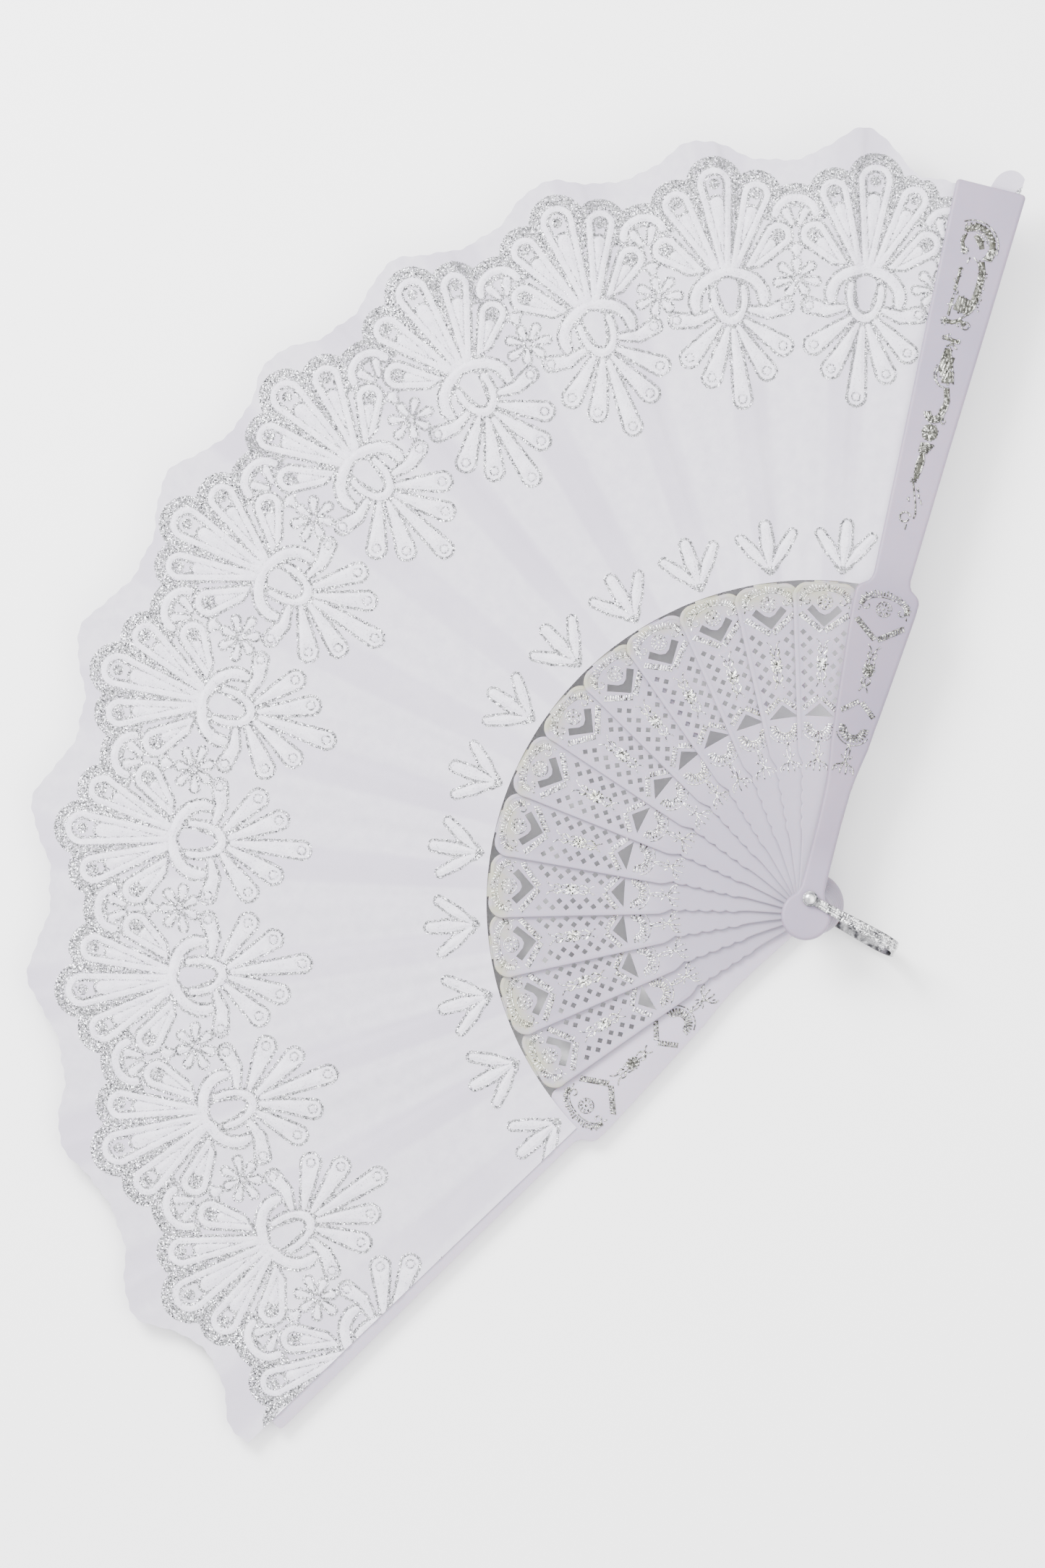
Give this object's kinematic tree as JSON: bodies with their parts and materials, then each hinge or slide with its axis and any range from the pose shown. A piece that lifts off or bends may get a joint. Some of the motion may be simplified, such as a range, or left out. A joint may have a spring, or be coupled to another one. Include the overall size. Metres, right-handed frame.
{
  "type": "folding hand fan",
  "caption": "Folding hand fan with pierced plastic sticks and guards on one rivet, a pleated cloth leaf with a scalloped edge, and a metal loop at the pivot.",
  "frame": {"origin": "centre of the rivet's flat underside, on the axis all the sticks turn on", "axes": "+Z along the rivet, towards the decorated front; +Y along the middle of the open fan; +X towards the front guard's side"},
  "size_m": [0.4489, 0.2615, 0.0229],
  "materials": {
    "moulded_plastic": "satin lilac-white moulding with silver foil relief",
    "leaf_cloth": "matte white cloth with raised white print and silver glitter",
    "plated_steel": "bright nickel plating, engraved on the loop's outer face"
  },
  "bodies": {
    "rear_guard_body": {"rear_guard": "moulded_plastic", "leaf_00": "leaf_cloth", "pivot_rivet": "plated_steel"},
    "stick_01_body": {"stick_01": "moulded_plastic", "leaf_01": "leaf_cloth"},
    "stick_02_body": {"stick_02": "moulded_plastic", "leaf_02": "leaf_cloth"},
    "stick_03_body": {"stick_03": "moulded_plastic", "leaf_03": "leaf_cloth"},
    "stick_04_body": {"stick_04": "moulded_plastic", "leaf_04": "leaf_cloth"},
    "stick_05_body": {"stick_05": "moulded_plastic", "leaf_05": "leaf_cloth"},
    "stick_06_body": {"stick_06": "moulded_plastic", "leaf_06": "leaf_cloth"},
    "stick_07_body": {"stick_07": "moulded_plastic", "leaf_07": "leaf_cloth"},
    "stick_08_body": {"stick_08": "moulded_plastic", "leaf_08": "leaf_cloth"},
    "stick_09_body": {"stick_09": "moulded_plastic", "leaf_09": "leaf_cloth"},
    "stick_10_body": {"stick_10": "moulded_plastic", "leaf_10": "leaf_cloth"},
    "stick_11_body": {"stick_11": "moulded_plastic", "leaf_11": "leaf_cloth"},
    "stick_12_body": {"stick_12": "moulded_plastic", "leaf_12": "leaf_cloth"},
    "front_guard_body": {"front_guard": "moulded_plastic", "leaf_13": "leaf_cloth"},
    "bail_body": {"bail_loop": "plated_steel"}
  },
  "joints": [
    {"name": "fold_01", "type": "hinge", "parent": "rear_guard_body", "child": "stick_01_body", "pos_m": [0, 0, 0.0105], "axis": [0, 0, 1], "range_deg": [0, 11.8]},
    {"name": "fold_02", "type": "hinge", "parent": "stick_01_body", "child": "stick_02_body", "pos_m": [0, 0, 0.0105], "axis": [0, 0, 1], "range_deg": [0, 11.3]},
    {"name": "fold_03", "type": "hinge", "parent": "stick_02_body", "child": "stick_03_body", "pos_m": [0, 0, 0.0105], "axis": [0, 0, 1], "range_deg": [0, 11.2]},
    {"name": "fold_04", "type": "hinge", "parent": "stick_03_body", "child": "stick_04_body", "pos_m": [0, 0, 0.0105], "axis": [0, 0, 1], "range_deg": [0, 11.2]},
    {"name": "fold_05", "type": "hinge", "parent": "stick_04_body", "child": "stick_05_body", "pos_m": [0, 0, 0.0105], "axis": [0, 0, 1], "range_deg": [0, 11.5]},
    {"name": "fold_06", "type": "hinge", "parent": "stick_05_body", "child": "stick_06_body", "pos_m": [0, 0, 0.0105], "axis": [0, 0, 1], "range_deg": [0, 11.7]},
    {"name": "fold_07", "type": "hinge", "parent": "stick_06_body", "child": "stick_07_body", "pos_m": [0, 0, 0.0105], "axis": [0, 0, 1], "range_deg": [0, 11.8]},
    {"name": "fold_08", "type": "hinge", "parent": "stick_07_body", "child": "stick_08_body", "pos_m": [0, 0, 0.0105], "axis": [0, 0, 1], "range_deg": [0, 11.4]},
    {"name": "fold_09", "type": "hinge", "parent": "stick_08_body", "child": "stick_09_body", "pos_m": [0, 0, 0.0105], "axis": [0, 0, 1], "range_deg": [0, 10.3]},
    {"name": "fold_10", "type": "hinge", "parent": "stick_09_body", "child": "stick_10_body", "pos_m": [0, 0, 0.0105], "axis": [0, 0, 1], "range_deg": [0, 11.3]},
    {"name": "fold_11", "type": "hinge", "parent": "stick_10_body", "child": "stick_11_body", "pos_m": [0, 0, 0.0105], "axis": [0, 0, 1], "range_deg": [0, 10.8]},
    {"name": "fold_12", "type": "hinge", "parent": "stick_11_body", "child": "stick_12_body", "pos_m": [0, 0, 0.0105], "axis": [0, 0, 1], "range_deg": [0, 10.9]},
    {"name": "fold_13", "type": "hinge", "parent": "stick_12_body", "child": "front_guard_body", "pos_m": [0, 0, 0.0105], "axis": [0, 0, 1], "range_deg": [0, 11.3]},
    {"name": "bail_swing", "type": "hinge", "parent": "rear_guard_body", "child": "bail_body", "pos_m": [0, 0, 0.0105], "axis": [0, 0, 1], "range_deg": [-85, 85]}
  ],
  "couplings": [
    {"joint": "fold_02", "follows": "fold_01", "ratio": 0.95763},
    {"joint": "fold_03", "follows": "fold_01", "ratio": 0.94915},
    {"joint": "fold_04", "follows": "fold_01", "ratio": 0.94915},
    {"joint": "fold_05", "follows": "fold_01", "ratio": 0.97458},
    {"joint": "fold_06", "follows": "fold_01", "ratio": 0.99152},
    {"joint": "fold_07", "follows": "fold_01", "ratio": 1},
    {"joint": "fold_08", "follows": "fold_01", "ratio": 0.9661},
    {"joint": "fold_09", "follows": "fold_01", "ratio": 0.87288},
    {"joint": "fold_10", "follows": "fold_01", "ratio": 0.95763},
    {"joint": "fold_11", "follows": "fold_01", "ratio": 0.91525},
    {"joint": "fold_12", "follows": "fold_01", "ratio": 0.92373},
    {"joint": "fold_13", "follows": "fold_01", "ratio": 0.95763}
  ]
}
